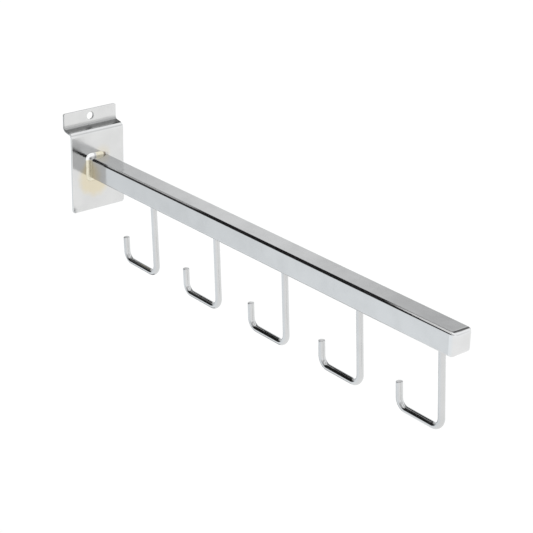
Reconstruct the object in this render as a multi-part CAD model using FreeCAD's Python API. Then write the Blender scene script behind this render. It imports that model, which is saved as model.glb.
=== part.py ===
import FreeCAD, Part
import math
import os

from FreeCAD import Placement, Rotation, Vector

# Straight display arm for a slotted wall panel: a folded plate that hangs in the slot, a square
# tube brazed to it, and a row of round wire hooks welded under the tube.
# Lengths are in millimetres and angles in degrees. +Z is up and +Y points into the wall.
# The origin is on the back face of the plate, on the centreline of the tube.

# Folded plate
SHEET_T = 2.0
SHEET_W = 50.0
PLATE_DOWN = 36.3        # tube's centreline to the plate's lower edge
PLATE_UP = 27.4          # tube's centreline to the start of the lower bend
JOGGLE_ANGLE = 81.0      # turn of each of the two bends
BEND_INSIDE_R = 2.25
PANEL_GAP = 8.3          # plane of the plate's back face to the front of the lip
LIP_STRAIGHT = 10.7      # flat height of the lip above its bend
PLATE_CORNER_R = 2.5
LIP_CORNER_R = 1.5
HOLE_D = 6.4
HOLE_DOWN = 5.8          # lip's upper edge to the centre of the hole
SHEET_EDGE = 0.3         # broken edge all round both faces and the hole

# Arm
TUBE_SIZE = 17.5
TUBE_WALL = 1.2
TUBE_CORNER_R = 1.8
ARM_REACH = 409.5        # plate's front face to the end of the arm
CAP_T = 5.0
CAP_EDGE_R = 4.0         # rounding of the cap's face

# Brazed seam round the foot of the tube
SEAM_ON_PLATE = 2.6
SEAM_ON_TUBE = 1.2
SEAM_CROWN = 0.4         # how far the seam bulges beyond a flat chamfer

# Wire hooks
WIRE_D = 5.0
HOOK_COUNT = 5
FIRST_HOOK = 75.0        # plate's front face to the first hook
LAST_HOOK = 18.5         # last hook to the end of the arm
HOOK_LEG = 60.0          # underside of the tube to the centreline of the run
HOOK_RUN = 40.0          # centreline of the leg to centreline of the tip
HOOK_TIP = 18.5          # centreline of the run to the cut end
HOOK_BEND_R = 7.5        # at the wire's centreline
HOOK_LEAN = 4.4          # leg and tip lean, lower end away from the wall
RUN_TILT = 0.7           # rise of the run towards its tip
WIRE_EDGE = 0.4          # broken edge of the cut end
FOOT_R = 1.6             # hollow fillet of the weld where the leg meets the tube

# Steps that approximate each bend of the wire, each weld's fillet and the rounding of the cap
BEND_STEPS = 6
FOOT_STEPS = 3
CAP_STEPS = 8

# Overshoot of cutting tools, and how closely edges are told apart
OVER = 1.0
TINY = 1e-4

plate_front = -SHEET_T
tube_half = TUBE_SIZE / 2.0
wire_r = WIRE_D / 2.0
tube_end = plate_front - ARM_REACH + CAP_T
hook_pitch = (ARM_REACH - FIRST_HOOK - LAST_HOOK) / (HOOK_COUNT - 1)


def yz(y, z):
    """Point in the side view."""
    return Vector(0.0, y, z)


def arc_edge(centre, radius, start, end):
    """Arc in the side view from one angle to another, each measured from +Y towards +Z."""
    angles = [math.radians(a) for a in (start, (start + end) / 2.0, end)]
    points = [centre + yz(radius * math.cos(a), radius * math.sin(a)) for a in angles]
    return Part.Arc(*points).toShape()


def line(a, b):
    return Part.makeLine(a, b)


def ruled_solid(sections):
    """Closed solid through a row of sections, straight from each to the next."""
    solid, ruled = True, True
    return Part.makeLoft(sections, solid, ruled)


def sheet_section():
    """Closed side view of the folded sheet, and the height of its upper edge."""
    turn = math.radians(JOGGLE_ANGLE)
    outside_r = BEND_INSIDE_R + SHEET_T
    low = yz(BEND_INSIDE_R, PLATE_UP)
    bends = (outside_r + BEND_INSIDE_R) * (1.0 - math.cos(turn))
    web = (PANEL_GAP + SHEET_T - bends) / math.sin(turn)
    across = yz(math.sin(turn), math.cos(turn))
    up_from_web = yz(-math.cos(turn), math.sin(turn))
    high = low + up_from_web * (outside_r + BEND_INSIDE_R) + across * web
    turned = 180.0 - JOGGLE_ANGLE
    top = high.z + LIP_STRAIGHT

    front = [
        line(yz(plate_front, -PLATE_DOWN), yz(plate_front, PLATE_UP)),
        arc_edge(low, outside_r, 180.0, turned),
        line(low + up_from_web * outside_r, high - up_from_web * BEND_INSIDE_R),
        arc_edge(high, BEND_INSIDE_R, -JOGGLE_ANGLE, 0.0),
        line(yz(PANEL_GAP, high.z), yz(PANEL_GAP, top)),
    ]
    back = [
        line(yz(PANEL_GAP, top), yz(PANEL_GAP + SHEET_T, top)),
        line(yz(PANEL_GAP + SHEET_T, top), yz(PANEL_GAP + SHEET_T, high.z)),
        arc_edge(high, outside_r, 0.0, -JOGGLE_ANGLE),
        line(high - up_from_web * outside_r, low + up_from_web * BEND_INSIDE_R),
        arc_edge(low, BEND_INSIDE_R, turned, 180.0),
        line(yz(0.0, PLATE_UP), yz(0.0, -PLATE_DOWN)),
        line(yz(0.0, -PLATE_DOWN), yz(plate_front, -PLATE_DOWN)),
    ]
    return Part.Wire(front + back), top


def corner_edges(sheet, height):
    """The two short edges through the sheet's thickness at one of its ends."""
    found = []
    for edge in sheet.Edges:
        box = edge.BoundBox
        at_height = abs(box.ZMin - height) < TINY and abs(box.ZMax - height) < TINY
        if at_height and box.XLength < TINY:
            found.append(edge)
    return found


def rim_edges(sheet):
    """Every edge of both faces, the hole's too: neither a bend line nor a line through the sheet."""
    found = []
    for edge in sheet.Edges:
        box = edge.BoundBox
        bend_line = box.XLength > SHEET_W - TINY
        through = box.XLength < TINY and box.ZLength < TINY
        if not bend_line and not through:
            found.append(edge)
    return found


def backplate():
    """Flat plate, joggle and lip folded from one sheet, with a hole in the lip."""
    section, top = sheet_section()
    sheet = Part.Face(section).extrude(Vector(SHEET_W, 0, 0))
    sheet.translate(Vector(-SHEET_W / 2.0, 0, 0))
    sheet = sheet.makeFillet(PLATE_CORNER_R, corner_edges(sheet, -PLATE_DOWN))
    sheet = sheet.makeFillet(LIP_CORNER_R, corner_edges(sheet, top))
    hole = Part.makeCylinder(
        HOLE_D / 2.0,
        SHEET_T + 2.0 * OVER,
        Vector(0, PANEL_GAP - OVER, top - HOLE_DOWN),
        Vector(0, 1, 0),
    )
    sheet = sheet.cut(hole)
    return sheet.makeChamfer(SHEET_EDGE, rim_edges(sheet))


def rounded_bar(size, corner_r, y_from, y_to):
    """Square bar with rounded long edges, lying along Y."""
    bar = Part.makeBox(size, y_to - y_from, size, Vector(-size / 2.0, y_from, -size / 2.0))
    long_edges = [edge for edge in bar.Edges if edge.BoundBox.YLength > TINY]
    return bar.makeFillet(corner_r, long_edges)


def arm_tube():
    outer = rounded_bar(TUBE_SIZE, TUBE_CORNER_R, tube_end, plate_front)
    bore_size = TUBE_SIZE - 2.0 * TUBE_WALL
    bore = rounded_bar(bore_size, TUBE_CORNER_R - TUBE_WALL, tube_end - OVER, plate_front + OVER)
    return outer.cut(bore)


def rounded_square(half, y):
    """Section across the arm, with the corners of the tube."""
    flat = half - TUBE_CORNER_R
    diagonal = flat + TUBE_CORNER_R * math.sqrt(0.5)
    edges = []
    for quarter in range(4):
        start = Vector(half, y, flat)
        side = line(Vector(half, y, -flat), start)
        corner = Part.Arc(start, Vector(diagonal, y, diagonal), Vector(flat, y, half)).toShape()
        for edge in (side, corner):
            edge.rotate(Vector(), Vector(0, 1, 0), -90.0 * quarter)
            edges.append(edge)
    return Part.Wire(edges)


def end_cap():
    """Closing plate, flush with the tube and rounded over on its face, lofted through its sections."""
    sections = [rounded_square(tube_half, tube_end)]
    for step in range(CAP_STEPS + 1):
        angle = math.radians(90.0 * step / CAP_STEPS)
        inset = CAP_EDGE_R * (1.0 - math.cos(angle))
        depth = CAP_T - CAP_EDGE_R * (1.0 - math.sin(angle))
        sections.append(rounded_square(tube_half - inset, tube_end - depth))
    return ruled_solid(sections)


def seam_section():
    """Section of the seam: along the plate, over the crowned face, back down the tube."""
    foot = Vector(0, plate_front, 0)
    toe = Vector(SEAM_ON_PLATE, plate_front, 0)
    crest = Vector(0, plate_front - SEAM_ON_TUBE, 0)
    outward = Vector(SEAM_ON_TUBE, -SEAM_ON_PLATE, 0)
    outward.normalize()
    middle = (toe + crest) * 0.5 + outward * SEAM_CROWN
    return Part.Wire([line(foot, toe), Part.Arc(toe, middle, crest).toShape(), line(crest, foot)])


def arm_weld():
    """Brazed seam all round the tube, on the plate."""
    flat = tube_half - TUBE_CORNER_R
    side = Part.Face(seam_section()).extrude(Vector(0, 0, 2.0 * flat))
    side.translate(Vector(tube_half, 0, -flat))
    corner_face = Part.Face(seam_section())
    corner_face.translate(Vector(TUBE_CORNER_R, 0, 0))
    corner = corner_face.revolve(Vector(0, 0, 0), Vector(0, 1, 0), -90.0)
    corner.translate(Vector(flat, 0, flat))
    pieces = []
    for quarter in range(4):
        for piece in (side, corner):
            copy = piece.copy()
            copy.rotate(Vector(0, 0, 0), Vector(0, 1, 0), 90.0 * quarter)
            pieces.append(copy)
    return pieces[0].multiFuse(pieces[1:]).removeSplitter()


def ring(at, radius):
    """Section of the wire: a circle across the direction of travel, which is the placement's own +Z."""
    circle = Part.makeCircle(radius)
    circle.Placement = at
    return Part.Wire(circle)


def forward(at, length):
    return at * Placement(Vector(0, 0, length), Rotation())


def turned(at, angle):
    """Carry on round a bend whose centre lies on the inner side of the hook."""
    return at * Placement(Vector(), Rotation(Vector(1, 0, 0), angle), Vector(0, -HOOK_BEND_R, 0))


def foot_rings(y_top):
    """Hollow fillet of the weld: level on the tube, square to the leg where it ends."""
    rings = []
    for i in range(FOOT_STEPS):
        share = i / FOOT_STEPS
        angle = math.radians(90.0 * share)
        depth = FOOT_R * (1.0 - math.cos(angle))
        radius = wire_r + FOOT_R * (1.0 - math.sin(angle))
        down = Placement(yz(y_top, -tube_half), Rotation(Vector(1, 0, 0), 180.0 - HOOK_LEAN))
        level = Rotation(Vector(1, 0, 0), 180.0 - HOOK_LEAN * share)
        rings.append(ring(Placement(forward(down, depth).Base, level), radius))
    return rings


def hook(y_top):
    """One bent wire, lofted through its sections from the tube's underside to the cut end."""
    heel_turn = 90.0 + HOOK_LEAN + RUN_TILT
    toe_turn = 180.0 - heel_turn
    heel_tangent = HOOK_BEND_R * math.tan(math.radians(heel_turn / 2.0))
    toe_tangent = HOOK_BEND_R * math.tan(math.radians(toe_turn / 2.0))
    rings = foot_rings(y_top)
    at = Placement(yz(y_top, -tube_half), Rotation(Vector(1, 0, 0), 180.0 - HOOK_LEAN))
    at = forward(at, FOOT_R)
    rings.append(ring(at, wire_r))
    straight_then_turn = (
        (HOOK_LEG - FOOT_R - heel_tangent, heel_turn),
        (HOOK_RUN - heel_tangent - toe_tangent, toe_turn),
    )
    for straight, turn in straight_then_turn:
        at = forward(at, straight)
        rings.append(ring(at, wire_r))
        for _ in range(BEND_STEPS):
            at = turned(at, turn / BEND_STEPS)
            rings.append(ring(at, wire_r))
    at = forward(at, HOOK_TIP - toe_tangent - WIRE_EDGE)
    rings.append(ring(at, wire_r))
    rings.append(ring(forward(at, WIRE_EDGE), wire_r - WIRE_EDGE))
    return ruled_solid(rings)


def build():
    nodes = {
        "backplate": backplate(),
        "arm_tube": arm_tube(),
        "end_cap": end_cap(),
        "arm_weld": arm_weld(),
    }
    for i in range(HOOK_COUNT):
        y_top = plate_front - FIRST_HOOK - i * hook_pitch
        nodes[f"hook_{i + 1}"] = hook(y_top)
    return nodes


os.makedirs("parts", exist_ok=True)
for name, shape in build().items():
    shape.exportStep(f"parts/{name}.step")
    box = shape.BoundBox
    print(
        f"{name:10s} solids {len(shape.Solids)} valid {shape.isValid()} volume {shape.Volume:.1f} "
        f"x {box.XMin:.2f} {box.XMax:.2f} y {box.YMin:.2f} {box.YMax:.2f} z {box.ZMin:.2f} {box.ZMax:.2f}"
    )
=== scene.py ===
import math

import bpy
from mathutils import Matrix, Vector, noise


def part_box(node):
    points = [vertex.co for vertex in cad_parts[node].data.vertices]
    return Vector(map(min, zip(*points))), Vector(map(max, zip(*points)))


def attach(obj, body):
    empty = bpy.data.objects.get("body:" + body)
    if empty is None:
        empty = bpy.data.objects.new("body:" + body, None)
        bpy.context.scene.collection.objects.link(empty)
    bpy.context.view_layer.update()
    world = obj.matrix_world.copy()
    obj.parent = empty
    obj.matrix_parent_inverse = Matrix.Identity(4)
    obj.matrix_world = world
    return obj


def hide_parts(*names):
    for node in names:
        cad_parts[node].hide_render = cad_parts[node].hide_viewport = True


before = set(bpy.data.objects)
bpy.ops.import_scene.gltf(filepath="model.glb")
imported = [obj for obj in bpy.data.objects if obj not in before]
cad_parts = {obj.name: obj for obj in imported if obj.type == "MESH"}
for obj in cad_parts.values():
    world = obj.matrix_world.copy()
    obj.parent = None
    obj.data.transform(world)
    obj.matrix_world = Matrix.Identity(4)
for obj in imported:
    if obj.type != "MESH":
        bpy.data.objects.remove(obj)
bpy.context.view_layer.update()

# A chrome-plated display arm for a slotted wall panel. Lengths are in metres, +Z is up, +Y points into
# the wall, and the origin is on the back face of the plate at the height of the tube's centreline.


def grey(value):
    return (value, value, value, 1.0)


def rgb(red, green, blue):
    return (red, green, blue, 1.0)


MM = 0.001
RIGHTWARDS = Vector((1.0, 0.0, 0.0))
FORWARD = Vector((0.0, -1.0, 0.0))
TUBE_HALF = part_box("arm_tube")[1].x
PLATE_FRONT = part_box("backplate")[0].y

# Wire hooks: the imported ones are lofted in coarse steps, so each is swept again with smooth bends
HOOK_COUNT = 5
WIRE_R = 2.5 * MM
HOOK_LEG = 60.0 * MM
HOOK_RUN = 40.0 * MM
HOOK_TIP = 18.5 * MM
HOOK_BEND_R = 7.5 * MM
HOOK_LEAN = math.radians(4.4)
RUN_TILT = math.radians(0.7)
WIRE_EDGE_R = 0.45 * MM
FOOT_R = 1.6 * MM
RING_POINTS = 48
BEND_RINGS = 28
FOOT_RINGS = 8
EDGE_RINGS = 5

# Cap: rounded over on its face, with the corners of the tube
TUBE_CORNER_R = 1.8 * MM
CAP_EDGE_R = 4.0 * MM
CAP_RINGS = 24
CAP_CORNER_POINTS = 12

# Brazed seam round the foot of the tube
SEAM_ON_PLATE = 3.1 * MM
SEAM_ON_TUBE = 1.2 * MM
SEAM_CROWN = 0.4 * MM
SEAM_SUNK = 0.05 * MM
SEAM_STATIONS = 360
SEAM_ARC_POINTS = 9
SEAM_WAVES = ((300.0, 0.12), (900.0, 0.05))  # waves per metre, and how much they add to the section

# Lumps of filler on the seam: place on the tube's outline in halves of its width, spread, and growth
LUMPS = (
    (Vector((-1.0, 0.0, 1.0)), 1.8 * MM, 1.12),
    (Vector((1.0, 0.0, -0.4)), 2.5 * MM, 1.2),
    (Vector((0.95, 0.0, 1.0)), 4.0 * MM, 0.4),
)

# Plating
BRIGHT = rgb(0.62, 0.623, 0.623)
PLATED = rgb(0.592, 0.595, 0.593)
SATIN = rgb(0.54, 0.543, 0.543)
HAZE_SCALE = 55.0
HAZE_SPAN = (0.3, 0.7)
HAZE_SHADE = 0.95
DULL_SPAN = (0.35, 0.75)
DULL_SHARES = (0.8, 1.5)                # of the piece's own roughness, where clear and where hazy
PLATE_GRAIN = (900.0, 900.0, 90.0)      # polish lines per metre along each axis
ARM_GRAIN = (1400.0, 40.0, 1400.0)
CAP_GRAIN = (500.0, 500.0, 500.0)
WIRE_GRAIN = (700.0, 700.0, 700.0)
LINES_ROUGHNESS = 0.03
LINES_BUMP = {"Strength": 0.08, "Distance": 0.02 * MM}
RIPPLE_SCALE = 120.0
RIPPLE_BUMP = {"Strength": 0.25, "Distance": 0.05 * MM}

# Painted shade in the gutter behind the plate's top bend, where the plating is also thin, and rough cut
# edges on the lip above it
FOLD_BEHIND = (0.8 * MM, 2.4 * MM)
FOLD_TOP = (32.3 * MM, 36.5 * MM)
FOLD_PAINTED_SHADE = 0.52
FOLD_ROUGHNESS = 0.18
LIP_BOTTOM = (33.0 * MM, 35.0 * MM)
LIP_SIDEWAYS = (0.25, 0.5)              # share of the surface's direction that is along X
LIP_EDGE_ROUGHNESS = 0.5

# Heat tint of the brazing torch, and straw on the plate that is a painted reflection of the cream seam
# and the tinted tube: each patch has its middle in X and Z, and its reach in X, Z and -Y
STRAW = rgb(0.60, 0.55, 0.43)
STRAW_BELOW = ((-3.5 * MM, -8.5 * MM), (15.0 * MM, 16.5 * MM, 9.0 * MM))
STRAW_BELOW_EDGE = (0.72, 1.2)
STRAW_ABOVE = ((4.0 * MM, 10.0 * MM), (9.0 * MM, 9.0 * MM, 2.5 * MM))
STRAW_ABOVE_EDGE = (0.3, 1.1)
STRAW_ABOVE_SHARE = 0.45
OFF_PLATE = (0.1 * MM, 0.4 * MM)
STRAW_OFF_PLATE = 0.4
BRONZE = rgb(0.42, 0.37, 0.27)
BRONZE_CLOSE = ((-3.0 * MM, -3.0 * MM), (9.5 * MM, 9.5 * MM, 5.0 * MM))
BRONZE_EDGE = (0.6, 1.2)
BRONZE_SHARE = 0.2
TINT_WANDER_SCALE = 150.0
TINT_WANDER = 0.35

# Scuff on top of the tube
SCUFF_AT = Vector((-3.2, -41.4, 8.75)) * MM
SCUFF_EDGE = (0.8 * MM, 2.6 * MM)
SCUFF_RAGGED_SCALE = 700.0
SCUFF_RAGGED = 1.2 * MM
SCUFF_SHARE = 0.45
SCUFF = grey(0.30)

# Filler of the seam, with places along X where the seam crosses the top of the tube
CREAM = rgb(0.72, 0.68, 0.55)
DARK_CREAM = rgb(0.64, 0.60, 0.48)
CREAM_SPAN = (0.35, 0.65)
PATCH_SCALE = 220.0
RAGGED = 1.5 * MM
TOP_FROM = (6.5 * MM, 7.8 * MM)
BARE_MIDDLE = 1.9 * MM
BARE_EDGE = (2.8 * MM, 4.8 * MM)
# Plated parts of the seam: a painted highlight at the left, turning to painted shade at the right
PLATED_PAINTED_HIGHLIGHT = grey(0.82)
PLATED_PAINTED_SHADE = rgb(0.5, 0.49, 0.47)
PLATED_TURN = (-3.0 * MM, 3.0 * MM)
GAP = grey(0.30)
GAP_AT = -2.9 * MM
GAP_EDGE = (0.2 * MM, 1.5 * MM)
GAP_SHARE = 0.6
SCALE = rgb(0.17, 0.13, 0.08)
SCALE_AT = 6.6 * MM
SCALE_EDGE = (0.2 * MM, 1.7 * MM)
SCALE_SHARE = 0.8
PIT_SCALE = 900.0
PIT_SPAN = (0.3, 0.7)
PIT_ROUGHNESS = (0.26, 0.38)
PIT_BUMP = {"Strength": 0.2, "Distance": 0.05 * MM}

# Camera, as a place and the directions of the picture's right-hand side and upper side
CAMERA_AT = Vector((-723.617, -1066.881, 472.025)) * MM
CAMERA_RIGHT = Vector((0.76824, -0.63977, 0.02242))
CAMERA_UP = Vector((0.23978, 0.32006, 0.91655))
LENS_MM = 113.737
SENSOR_MM = 36.0
CLIP_END = 200.0

# Floor
FLOOR_Z = -0.45
FLOOR_SIZE = 60.0
FLOOR_GREY = 0.8
FLOOR_LIFT = 0.22                       # light of its own, which takes it to white

# The floor as the metal mirrors it: each slope weighs X and Y, and each edge is a span along a slope
BACK_SLOPE = (-0.55, 1.0)
GLOW_EDGE = (0.7, 1.35)
GLOW_LEVELS = (1.26, 1.12)
COOL_EDGE = (-0.6, 0.6)
COOL = rgb(0.95, 0.985, 1.015)
DARK_EDGES = (
    ((-0.6, 0.8), (1.4, 1.75)),
    ((-1.0, -0.5), (-0.15, 0.1)),
    ((0.53, 1.0), (-0.1, 0.25)),
)
DARK_SHARE = 0.97
DARK_STRIP_SIDE = (0.06, 0.12)
DARK_STRIP_MIDDLE = 0.27
DARK_STRIP_END = (0.22, 0.32)
DARK_STRIP_LEVEL = 0.04

# Cards that only the metal mirrors, hung level over the arm: low corner, high corner and level
HUNG_CARDS = (
    ((-0.260, -0.335, 0.150), (0.090, -0.235, 0.150), 1.1),
    ((-0.260, -0.235, 0.150), (-0.155, -0.190, 0.150), 1.1),
    ((-0.028, 0.015, 0.150), (0.028, 0.150, 0.150), 1.4),
    ((-0.100, 0.030, 0.150), (-0.028, 0.148, 0.150), 0.17),
    ((-0.160, 0.080, 0.150), (-0.100, 0.250, 0.150), 0.17),
    ((-0.300, 0.190, 0.150), (-0.160, 0.400, 0.150), 0.17),
)

# Black cards upright in front of the arm's foot, which show only in a mirroring of a mirroring
BLACK_CARDS = (
    ((-0.095, -0.088, -0.012), (-0.038, -0.088, 0.100)),
    ((-0.038, -0.088, 0.035), (0.038, -0.088, 0.100)),
    ((-0.095, -0.088, -0.022), (-0.060, -0.088, -0.012)),
)
BLACK_LEVEL = 0.01
ONE_MIRRORING = 1.5                     # ray depth between a first mirroring and a second

# What the metal mirrors above the floor, in degrees of height and of bearing from +Y towards +X
FRONT_LEVEL = 1.3
FRONT_TOP = (22.0, 28.0)
FRONT_EDGE = (-0.35, 0.0)               # share of the direction that is along +Y
FRONT_MIDDLE_TOP = (41.0, 46.0)
FRONT_MIDDLE_START = (145.0, 155.0)     # to the right, and as far to the left
FRONT_RIGHT_LEVELS = (1.35, 0.97)       # at the right, and towards the middle
FRONT_RIGHT_TOP = (46.0, 52.0)
FRONT_RIGHT_START = (82.0, 98.0)
FRONT_RIGHT_TURN = (122.0, 136.0)
FRONT_RIGHT_END = (146.0, 155.0)
BACK_LEVEL = 1.03
BACK_TOP = (27.0, 30.5)
BACK_START = (-24.0, -12.0)
BACK_RISE = (34.0, 39.0)
BACK_RISE_SHARES = (0.8, 1.0)
BACK_FADE = (40.0, 49.0)
BACK_FADE_SHARES = (1.0, 0.72)
BACK_END = (78.0, 95.0)
LEFT_LEVEL = 0.6
LEFT_TOP = (45.0, 60.0)
LEFT_START = (62.0, 75.0)               # bearings from +Y towards -X
LEFT_END = (136.0, 147.0)
SOFTBOX_LEVEL = 1.35
SOFTBOX_TOWARDS = Vector((0.0, -0.208, 0.978))
SOFTBOX_EDGE = (0.70, 0.77)             # cosine of the angle from its middle
SOFTBOX_BOTTOM = (41.0, 46.0)
HAZE_LEVEL = 0.2
HAZE_START = (48.0, 60.0)
HAZE_END = (85.0, 105.0)
DARK_ROOM = 0.015
STUDIO_WHITE = rgb(0.985, 0.99, 1.0)


class Shader:
    """A node tree that is built one call at a time."""

    def __init__(self, tree):
        self.tree = tree
        tree.nodes.clear()

    def node(self, kind, inputs=None, **settings):
        made = self.tree.nodes.new(kind)
        for key, value in settings.items():
            setattr(made, key, value)
        for key, value in (inputs or {}).items():
            self.feed(made.inputs[key], value)
        return made

    def feed(self, socket, value):
        if isinstance(value, bpy.types.NodeSocket):
            self.tree.links.new(value, socket)
        else:
            socket.default_value = value

    def math(self, operation, first, *others):
        """An operation on one value, or on two or more from left to right."""
        if not others:
            return self.node("ShaderNodeMath", {0: first}, operation=operation).outputs[0]
        for other in others:
            first = self.node("ShaderNodeMath", {0: first, 1: other}, operation=operation).outputs[0]
        return first

    def vector_math(self, operation, *vectors):
        made = self.node("ShaderNodeVectorMath", dict(enumerate(vectors)), operation=operation)
        return made.outputs["Value"]

    def smooth(self, value, low, high, to_low=0.0, to_high=1.0):
        """Smooth step of a value from one level to another."""
        made = self.node(
            "ShaderNodeMapRange",
            {"Value": value, "From Min": low, "From Max": high, "To Min": to_low, "To Max": to_high},
            interpolation_type="SMOOTHSTEP",
        )
        return made.outputs["Result"]

    def mix(self, share, a, b):
        made = self.node("ShaderNodeMix", {"Factor": share, 6: a, 7: b}, data_type="RGBA")
        return made.outputs[2]

    def either(self, share, a, b):
        """One surface or another, by a share of nought or one."""
        return self.node("ShaderNodeMixShader", {0: share, 1: a.outputs[0], 2: b.outputs[0]})

    def here(self):
        """Place in the part's frame."""
        return self.node("ShaderNodeTexCoord").outputs["Object"]

    def axes(self, vector):
        return self.node("ShaderNodeSeparateXYZ", {"Vector": vector}).outputs

    def stretched(self, scale=(1.0, 1.0, 1.0)):
        """Place in the part's frame, stretched by a scale on each axis."""
        return self.node("ShaderNodeMapping", {"Vector": self.here(), "Scale": scale}).outputs["Vector"]

    def noise(self, vector, scale, detail=3.0, roughness=0.55):
        made = self.node(
            "ShaderNodeTexNoise",
            {"Vector": vector, "Scale": scale, "Detail": detail, "Roughness": roughness},
        )
        return made.outputs["Fac"]

    def metal(self, colour, roughness, bump):
        """Finish the tree with a metal surface."""
        normal = bump.outputs["Normal"]
        surface = self.node(
            "ShaderNodeBsdfPrincipled",
            {"Base Color": colour, "Metallic": 1.0, "Roughness": roughness, "Normal": normal},
        )
        self.finish(surface)

    def finish(self, surface, kind="ShaderNodeOutputMaterial"):
        self.node(kind, {"Surface": surface.outputs[0]})


def new_material(name):
    material = bpy.data.materials.new(name)
    material.use_nodes = True
    return material, Shader(material.node_tree)


def darker(colour, share):
    return [channel * share for channel in colour[:3]] + [1.0]


def from_middle(shader, axes, middle, reach):
    """How far a place lies from the middle of a heated patch, as a share of the patch's reach."""
    along = shader.math("MAXIMUM", shader.math("SUBTRACT", PLATE_FRONT, axes["Y"]), 0.0)
    shares = {
        "X": shader.math("DIVIDE", shader.math("SUBTRACT", axes["X"], middle[0]), reach[0]),
        "Y": shader.math("DIVIDE", along, reach[2]),
        "Z": shader.math("DIVIDE", shader.math("SUBTRACT", axes["Z"], middle[1]), reach[1]),
    }
    return shader.vector_math("LENGTH", shader.node("ShaderNodeCombineXYZ", shares).outputs[0])


def straw_tint_and_painted_reflection(shader, clean):
    """Straw round the foot of the tube, a broad patch below and a faint one above: heat tint of the torch
    on the tube, and on the plate a painted reflection of the cream seam and the tinted tube.
    """
    axes = shader.axes(shader.here())
    uneven = shader.noise(shader.stretched(), TINT_WANDER_SCALE, detail=2.0)
    wander = shader.math("MULTIPLY", shader.math("SUBTRACT", uneven, 0.5), TINT_WANDER)

    def patch(place, edge, share):
        distance = shader.math("ADD", from_middle(shader, axes, *place), wander)
        return shader.smooth(distance, *edge, share, 0.0)

    # Painted reflection: on the plate the straw stands for the mirrored cream seam and tinted tube; off
    # the plate it is heat tint
    below = patch(STRAW_BELOW, STRAW_BELOW_EDGE, 1.0)
    above = patch(STRAW_ABOVE, STRAW_ABOVE_EDGE, STRAW_ABOVE_SHARE)
    bronze = patch(BRONZE_CLOSE, BRONZE_EDGE, BRONZE_SHARE)
    along = shader.math("SUBTRACT", PLATE_FRONT, axes["Y"])
    kept = shader.smooth(along, *OFF_PLATE, 1.0, STRAW_OFF_PLATE)
    straw = shader.math("MULTIPLY", shader.math("MAXIMUM", below, above), kept)
    return shader.mix(bronze, shader.mix(straw, clean, STRAW), BRONZE)


def scuffed(shader, colour):
    """A small dull scuff on top of the tube, near the plate."""
    distance = shader.vector_math("DISTANCE", shader.here(), SCUFF_AT)
    uneven = shader.noise(shader.stretched(), SCUFF_RAGGED_SCALE)
    ragged = shader.math("ADD", distance, shader.math("MULTIPLY", uneven, SCUFF_RAGGED))
    return shader.mix(shader.smooth(ragged, *SCUFF_EDGE, SCUFF_SHARE, 0.0), colour, SCUFF)


def in_the_fold(shader):
    """One in the gutter between the plate's top bend and the lip, where shade is painted in and the
    plating is thin; else nought.
    """
    axes = shader.axes(shader.here())
    behind = shader.smooth(axes["Y"], *FOLD_BEHIND)
    return shader.math("MULTIPLY", behind, shader.smooth(axes["Z"], *FOLD_TOP, 1.0, 0.0))


def on_lip_edge(shader):
    """One on the lip's cut edges, which are left rougher than its faces; else nought."""
    height = shader.axes(shader.here())["Z"]
    facing = shader.axes(shader.node("ShaderNodeNewGeometry").outputs["Normal"])
    sideways = shader.smooth(shader.math("ABSOLUTE", facing["X"]), *LIP_SIDEWAYS)
    return shader.math("MULTIPLY", sideways, shader.smooth(height, *LIP_BOTTOM))


def chrome(name, grain, base, polish, tint=False, fold=False, scuff=False):
    """Bright plating: polish lines along the piece, a faint ripple, and a haze that comes and goes."""
    material, shader = new_material(name)
    haze = shader.noise(shader.stretched(), HAZE_SCALE, detail=4.0)
    lines = shader.noise(shader.stretched(grain), 1.0, detail=2.0)
    ripple = shader.noise(shader.stretched(), RIPPLE_SCALE, detail=1.0)
    colour = shader.mix(shader.smooth(haze, *HAZE_SPAN), base, darker(base, HAZE_SHADE))
    clear, hazy = (polish * share for share in DULL_SHARES)
    rough = shader.math(
        "ADD",
        shader.smooth(haze, *DULL_SPAN, clear, hazy),
        shader.math("MULTIPLY", lines, LINES_ROUGHNESS),
    )
    if tint:
        colour = straw_tint_and_painted_reflection(shader, colour)
    if scuff:
        colour = scuffed(shader, colour)
    if fold:
        fold_shade_and_dullness = in_the_fold(shader)
        # Painted shade: the gutter's colour is darkened where the fold shades itself, together with its
        # thin plating
        colour = shader.mix(fold_shade_and_dullness, colour, darker(base, FOLD_PAINTED_SHADE))
        rough = shader.math(
            "ADD",
            rough,
            shader.math("MULTIPLY", fold_shade_and_dullness, FOLD_ROUGHNESS),
            shader.math("MULTIPLY", on_lip_edge(shader), LIP_EDGE_ROUGHNESS),
        )
    lined = shader.node("ShaderNodeBump", {"Height": lines, **LINES_BUMP}).outputs["Normal"]
    rippled = shader.node("ShaderNodeBump", {"Height": ripple, "Normal": lined, **RIPPLE_BUMP})
    shader.metal(colour, rough, rippled)
    return material


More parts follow.
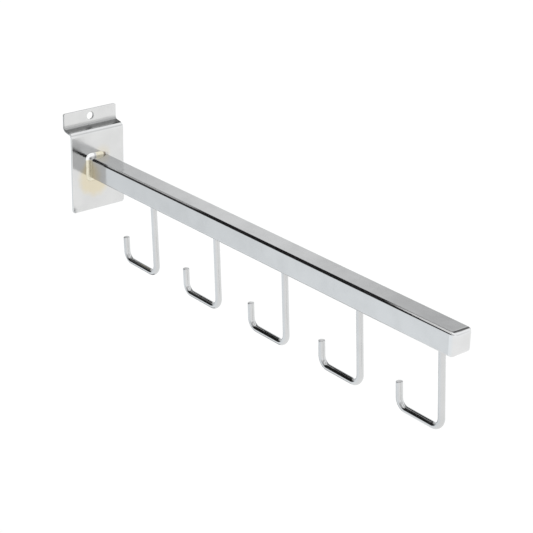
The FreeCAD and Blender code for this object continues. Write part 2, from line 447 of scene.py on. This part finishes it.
def braze(name):
    """Pale filler down the sides and over the middle of the top, and plated over everywhere else, with a
    painted highlight at the left turning to painted shade at the right.
    """
    material, shader = new_material(name)
    axes = shader.axes(shader.here())
    patches = shader.noise(shader.stretched(), PATCH_SCALE, detail=2.0)
    pits = shader.noise(shader.stretched(), PIT_SCALE)
    on_top = shader.smooth(axes["Z"], *TOP_FROM)
    ragged = shader.math("ADD", axes["X"], shader.math("MULTIPLY", patches, RAGGED))

    def on_top_near(place, edge, at_place, beyond):
        distance = shader.math("ABSOLUTE", shader.math("SUBTRACT", ragged, place))
        return shader.math("MULTIPLY", on_top, shader.smooth(distance, *edge, at_place, beyond))

    cream = shader.mix(shader.smooth(patches, *CREAM_SPAN), CREAM, DARK_CREAM)
    # Painted highlight at the left of the plated seam, painted shade at the right
    plated = shader.mix(shader.smooth(axes["X"], *PLATED_TURN), PLATED_PAINTED_HIGHLIGHT, PLATED_PAINTED_SHADE)
    colour = shader.mix(on_top_near(BARE_MIDDLE, BARE_EDGE, 0.0, 1.0), cream, plated)
    colour = shader.mix(on_top_near(GAP_AT, GAP_EDGE, GAP_SHARE, 0.0), colour, GAP)
    colour = shader.mix(on_top_near(SCALE_AT, SCALE_EDGE, SCALE_SHARE, 0.0), colour, SCALE)
    rough = shader.smooth(pits, *PIT_SPAN, *PIT_ROUGHNESS)
    shader.metal(colour, rough, shader.node("ShaderNodeBump", {"Height": pits, **PIT_BUMP}))
    return material


def mesh_object(name, verts, faces, material, sharp_deg=40.0):
    mesh = bpy.data.meshes.new(name)
    mesh.from_pydata([tuple(v) for v in verts], [], faces)
    mesh.validate()
    for polygon in mesh.polygons:
        polygon.use_smooth = True
    mesh.set_sharp_from_angle(angle=math.radians(sharp_deg))
    mesh.materials.append(material)
    made = bpy.data.objects.new(name, mesh)
    bpy.context.scene.collection.objects.link(made)
    return made


def closed_skin(rings):
    """Skin over rings of as many points each, with a flat face at both ends."""
    points = len(rings[0])
    verts = [point for ring in rings for point in ring]
    faces = [tuple(reversed(range(points)))]
    for r in range(len(rings) - 1):
        a, b = r * points, (r + 1) * points
        for i in range(points):
            j = (i + 1) % points
            faces.append((a + i, a + j, b + j, b + i))
    last = (len(rings) - 1) * points
    faces.append(tuple(range(last, last + points)))
    return verts, faces


def round_ring(centre, travel, radius):
    """Circle across a direction of travel in the YZ plane."""
    inner = travel.cross(RIGHTWARDS)
    ring = []
    for i in range(RING_POINTS):
        angle = 2.0 * math.pi * i / RING_POINTS
        ring.append(centre + RIGHTWARDS * radius * math.cos(angle) + inner * radius * math.sin(angle))
    return ring


def direction(angle):
    """Direction in the YZ plane: 0 points down, and a growing angle turns it towards the wall."""
    return Vector((0.0, math.sin(angle), -math.cos(angle)))


def hook_rings():
    """Rings of one hook whose leg starts at the origin, on the underside of the tube."""
    heel_turn = math.radians(90.0) + HOOK_LEAN + RUN_TILT
    toe_turn = math.pi - heel_turn
    heel_tangent = HOOK_BEND_R * math.tan(heel_turn / 2.0)
    toe_tangent = HOOK_BEND_R * math.tan(toe_turn / 2.0)
    heading = -HOOK_LEAN
    rings = []
    for i in range(FOOT_RINGS + 1):
        angle = math.pi / 2.0 * i / FOOT_RINGS
        depth = FOOT_R * (1.0 - math.cos(angle))
        radius = WIRE_R + FOOT_R * (1.0 - math.sin(angle))
        rings.append(round_ring(direction(heading) * depth, direction(heading * i / FOOT_RINGS), radius))
    at = direction(heading) * FOOT_R
    stretches = (
        (HOOK_LEG - FOOT_R - heel_tangent, heel_turn),
        (HOOK_RUN - heel_tangent - toe_tangent, toe_turn),
    )
    for straight, turn in stretches:
        at = at + direction(heading) * straight
        rings.append(round_ring(at, direction(heading), WIRE_R))
        centre = at + RIGHTWARDS.cross(direction(heading)) * HOOK_BEND_R
        for i in range(1, BEND_RINGS + 1):
            now = direction(heading + turn * i / BEND_RINGS)
            at = centre - RIGHTWARDS.cross(now) * HOOK_BEND_R
            rings.append(round_ring(at, now, WIRE_R))
        heading += turn
    at = at + direction(heading) * (HOOK_TIP - toe_tangent - WIRE_EDGE_R)
    for i in range(EDGE_RINGS + 1):
        angle = math.pi / 2.0 * i / EDGE_RINGS
        radius = WIRE_R - WIRE_EDGE_R * (1.0 - math.cos(angle))
        centre = at + direction(heading) * WIRE_EDGE_R * math.sin(angle)
        rings.append(round_ring(centre, direction(heading), radius))
    return rings


def make_hook(number, material):
    node = f"hook_{number}"
    verts, faces = closed_skin(hook_rings())
    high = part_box(node)[1]
    reach = max(v.y for v in verts)
    shift = Vector((0.0, high.y - reach, high.z))
    made = mesh_object(f"wire_hook_{number}", [v + shift for v in verts], faces, material)
    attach(made, "root")
    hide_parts(node)


def cap_ring(inset, y):
    """Section across the arm: a square with the corners of the tube."""
    flat = TUBE_HALF - inset - TUBE_CORNER_R
    ring = []
    for quarter in range(4):
        sign_x = 1.0 if quarter in (0, 3) else -1.0
        sign_z = 1.0 if quarter in (0, 1) else -1.0
        for i in range(CAP_CORNER_POINTS + 1):
            angle = math.pi / 2.0 * (quarter + i / CAP_CORNER_POINTS)
            x = sign_x * flat + TUBE_CORNER_R * math.cos(angle)
            z = sign_z * flat + TUBE_CORNER_R * math.sin(angle)
            ring.append(Vector((x, y, z)))
    return ring


def make_cap(material):
    """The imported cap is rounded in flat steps, so it is skinned again with a smooth rounding."""
    low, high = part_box("end_cap")
    rings = [cap_ring(0.0, high.y)]
    for i in range(CAP_RINGS + 1):
        angle = math.pi / 2.0 * i / CAP_RINGS
        inset = CAP_EDGE_R * (1.0 - math.cos(angle))
        rings.append(cap_ring(inset, low.y + CAP_EDGE_R * (1.0 - math.sin(angle))))
    verts, faces = closed_skin(rings)
    made = mesh_object("closing_cap", verts, faces, material, sharp_deg=30.0)
    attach(made, "root")
    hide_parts("end_cap")


def seam_outline(station):
    """Point on the tube's outline and the outward direction there, for a share of the way round."""
    flat = TUBE_HALF - TUBE_CORNER_R
    straight = 2.0 * flat
    side = straight + math.pi / 2.0 * TUBE_CORNER_R
    quarter, along = divmod(station * 4.0 * side, side)
    if along < straight:
        point = Vector((TUBE_HALF, 0.0, -flat + along))
        outward = RIGHTWARDS
    else:
        angle = (along - straight) / TUBE_CORNER_R
        outward = Vector((math.cos(angle), 0.0, math.sin(angle)))
        point = Vector((flat, 0.0, flat)) + outward * TUBE_CORNER_R
    turn = Matrix.Rotation(-math.pi / 2.0 * quarter, 3, "Y")
    return turn @ point, turn @ outward


def seam_swell(point):
    """How much larger the seam's section is at a place on the tube's outline."""
    swell = 1.0
    for waves, growth in SEAM_WAVES:
        swell += growth * noise.noise(point * waves)
    for place, spread, growth in LUMPS:
        gap = (point - place * TUBE_HALF).length
        swell += (growth - 1.0) * math.exp(-((gap / spread) ** 2))
    return swell


def seam_section(point, outward):
    """The seam's section at a place on the tube's outline, crowned and sunk a little into both pieces."""
    swell = seam_swell(point)
    on_plate = SEAM_ON_PLATE * swell
    on_tube = SEAM_ON_TUBE * swell
    slope = Vector((on_tube, on_plate)).normalized()
    base = point + Vector((0.0, PLATE_FRONT, 0.0))
    section = [
        base - outward * SEAM_SUNK - FORWARD * SEAM_SUNK,
        base + outward * on_plate - FORWARD * SEAM_SUNK,
    ]
    for i in range(SEAM_ARC_POINTS):
        t = i / (SEAM_ARC_POINTS - 1)
        bulge = SEAM_CROWN * swell * math.sin(math.pi * t)
        away = on_plate * (1.0 - t) + bulge * slope.x
        proud = on_tube * t + bulge * slope.y
        section.append(base + outward * away + FORWARD * proud)
    section.append(base - outward * SEAM_SUNK + FORWARD * on_tube)
    return section


def make_seam(material):
    sections = [seam_section(*seam_outline(s / SEAM_STATIONS)) for s in range(SEAM_STATIONS)]
    verts = [point for section in sections for point in section]
    points = len(sections[0])
    faces = []
    for s in range(SEAM_STATIONS):
        a = s * points
        b = (s + 1) % SEAM_STATIONS * points
        for i in range(points):
            j = (i + 1) % points
            faces.append((a + i, b + i, b + j, a + j))
    made = mesh_object("braze_seam", verts, faces, material, sharp_deg=60.0)
    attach(made, "root")
    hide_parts("arm_weld")


def set_finish(node, material):
    """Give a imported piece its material."""
    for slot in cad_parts[node].material_slots:
        slot.link = "OBJECT"
        slot.material = material


def floor_in_metal(shader):
    """The floor in the metal: softly graded, and dark far to the left and in a strip under the arm."""
    axes = shader.axes(shader.here())

    def along(slope):
        parts = (shader.math("MULTIPLY", axes[axis], share) for axis, share in zip("XY", slope))
        return shader.math("ADD", *parts)

    shares = (shader.smooth(along(slope), *edge) for slope, edge in DARK_EDGES)
    darkness = shader.math("MULTIPLY", *shares)
    beside = shader.smooth(shader.math("ABSOLUTE", axes["X"]), *DARK_STRIP_SIDE)
    beyond = shader.math("ABSOLUTE", shader.math("SUBTRACT", axes["Y"], DARK_STRIP_MIDDLE))
    glow = shader.math(
        "MULTIPLY",
        shader.smooth(along(BACK_SLOPE), *GLOW_EDGE, *GLOW_LEVELS),
        shader.math("SUBTRACT", 1.0, shader.math("MULTIPLY", darkness, DARK_SHARE)),
        shader.math("MAXIMUM", beside, shader.smooth(beyond, *DARK_STRIP_END), DARK_STRIP_LEVEL),
    )
    colour = shader.mix(shader.smooth(along(BACK_SLOPE), *COOL_EDGE), grey(1.0), COOL)
    return shader.node("ShaderNodeEmission", {"Color": colour, "Strength": glow})


def floor_material():
    """Pale floor that keeps the object's shadow, with its own look in the metal, and clear from below."""
    material, shader = new_material("pale_floor")
    diffuse = shader.node("ShaderNodeBsdfDiffuse", {"Color": grey(FLOOR_GREY)})
    lift = shader.node("ShaderNodeEmission", {"Color": grey(1.0), "Strength": FLOOR_LIFT})
    seen = shader.node("ShaderNodeAddShader", {0: diffuse.outputs[0], 1: lift.outputs[0]})
    mirrored = shader.node("ShaderNodeLightPath").outputs["Is Glossy Ray"]
    above = shader.either(mirrored, seen, floor_in_metal(shader))
    below = shader.node("ShaderNodeNewGeometry").outputs["Backfacing"]
    shader.finish(shader.either(below, above, shader.node("ShaderNodeBsdfTransparent")))
    return material


def sheet(name, low, high, material):
    """Flat sheet between two corners, with level edges along X."""
    x0, y0, z0 = low
    x1, y1, z1 = high
    corners = [(x0, y0, z0), (x1, y0, z0), (x1, y1, z1), (x0, y1, z1)]
    return mesh_object(name, corners, [(0, 1, 2, 3)], material)


def make_floor():
    half = FLOOR_SIZE / 2.0
    floor = sheet("floor", (-half, -half, FLOOR_Z), (half, half, FLOOR_Z), floor_material())


def make_card(number, low, high, level, only_again=False):
    material, shader = new_material(f"card_{number}")
    surface = shader.node("ShaderNodeEmission", {"Color": grey(1.0), "Strength": level})
    if only_again:
        depth = shader.node("ShaderNodeLightPath").outputs["Ray Depth"]
        again = shader.math("GREATER_THAN", depth, ONE_MIRRORING)
        surface = shader.either(again, shader.node("ShaderNodeBsdfTransparent"), surface)
    shader.finish(surface)
    card = sheet(f"card_{number}", low, high, material)
    card.visible_camera = False
    card.visible_diffuse = False
    card.visible_shadow = False


def make_cards():
    for number, (low, high, level) in enumerate(HUNG_CARDS, start=1):
        make_card(number, low, high, level)
    for number, (low, high) in enumerate(BLACK_CARDS, start=len(HUNG_CARDS) + 1):
        make_card(number, low, high, BLACK_LEVEL, only_again=True)


def make_world():
    """White for the eye and for plain surfaces; for metal, a dark room with soft white cards."""
    world = bpy.data.worlds.new("studio")
    bpy.context.scene.world = world
    world.use_nodes = True
    shader = Shader(world.node_tree)
    where = shader.node("ShaderNodeTexCoord").outputs["Generated"]
    axes = shader.axes(where)
    height = shader.math("ARCSINE", axes["Z"])
    bearing = shader.math("ARCTAN2", axes["X"], axes["Y"])
    leftwards = shader.math("MULTIPLY", bearing, -1.0)

    def rise(value, degrees, at_low=0.0, at_high=1.0):
        low, high = (math.radians(angle) for angle in degrees)
        return shader.smooth(value, low, high, at_low, at_high)

    def fall(value, degrees, level=1.0):
        return rise(value, degrees, level, 0.0)

    front = shader.math(
        "MULTIPLY",
        fall(height, FRONT_TOP, FRONT_LEVEL),
        shader.smooth(axes["Y"], *FRONT_EDGE, 1.0, 0.0),
    )
    front_middle = shader.math(
        "MULTIPLY",
        fall(height, FRONT_MIDDLE_TOP, FRONT_LEVEL),
        rise(shader.math("ABSOLUTE", bearing), FRONT_MIDDLE_START),
    )
    front_right = shader.math(
        "MULTIPLY",
        fall(height, FRONT_RIGHT_TOP),
        rise(bearing, FRONT_RIGHT_START),
        rise(bearing, FRONT_RIGHT_TURN, *FRONT_RIGHT_LEVELS),
        fall(bearing, FRONT_RIGHT_END),
    )
    back = shader.math(
        "MULTIPLY",
        fall(height, BACK_TOP, BACK_LEVEL),
        rise(bearing, BACK_RISE, *BACK_RISE_SHARES),
        rise(bearing, BACK_START),
        rise(bearing, BACK_FADE, *BACK_FADE_SHARES),
        fall(bearing, BACK_END),
    )
    left = shader.math(
        "MULTIPLY",
        fall(height, LEFT_TOP, LEFT_LEVEL),
        rise(leftwards, LEFT_START),
        fall(leftwards, LEFT_END),
    )
    facing = shader.vector_math("DOT_PRODUCT", where, SOFTBOX_TOWARDS)
    softbox = shader.math(
        "MULTIPLY",
        shader.smooth(facing, *SOFTBOX_EDGE, 0.0, SOFTBOX_LEVEL),
        rise(height, SOFTBOX_BOTTOM),
    )
    haze = shader.math("MULTIPLY", rise(bearing, HAZE_START, 0.0, HAZE_LEVEL), fall(bearing, HAZE_END))
    cards = shader.math("MAXIMUM", front, front_middle, front_right, back, left, softbox, haze)
    level = shader.math("ADD", cards, DARK_ROOM)

    plain = shader.node("ShaderNodeBackground", {"Color": grey(1.0), "Strength": 1.0})
    studio = shader.node("ShaderNodeBackground", {"Color": STUDIO_WHITE, "Strength": level})
    mirrored = shader.node("ShaderNodeLightPath").outputs["Is Glossy Ray"]
    shader.finish(shader.either(mirrored, plain, studio), "ShaderNodeOutputWorld")


def make_camera():
    data = bpy.data.cameras.new("camera")
    data.lens = LENS_MM
    data.sensor_width = SENSOR_MM
    data.clip_end = CLIP_END
    camera = bpy.data.objects.new("camera", data)
    back = CAMERA_RIGHT.cross(CAMERA_UP)
    turn = Matrix((CAMERA_RIGHT, CAMERA_UP, back)).transposed().to_4x4()
    camera.matrix_world = Matrix.Translation(CAMERA_AT) @ turn
    bpy.context.scene.collection.objects.link(camera)
    bpy.context.scene.camera = camera


def build():
    plate_chrome = chrome("plate_chrome", PLATE_GRAIN, PLATED, 0.12, tint=True, fold=True)
    arm_chrome = chrome("arm_chrome", ARM_GRAIN, SATIN, 0.10, tint=True, scuff=True)
    cap_chrome = chrome("cap_chrome", CAP_GRAIN, BRIGHT, 0.07)
    wire_chrome = chrome("wire_chrome", WIRE_GRAIN, SATIN, 0.09)
    set_finish("backplate", plate_chrome)
    set_finish("arm_tube", arm_chrome)
    make_cap(cap_chrome)
    make_seam(braze("braze"))
    for number in range(1, HOOK_COUNT + 1):
        make_hook(number, wire_chrome)
    make_floor()
    make_cards()
    make_world()
    make_camera()
    bpy.context.scene.view_settings.view_transform = "Standard"


build()
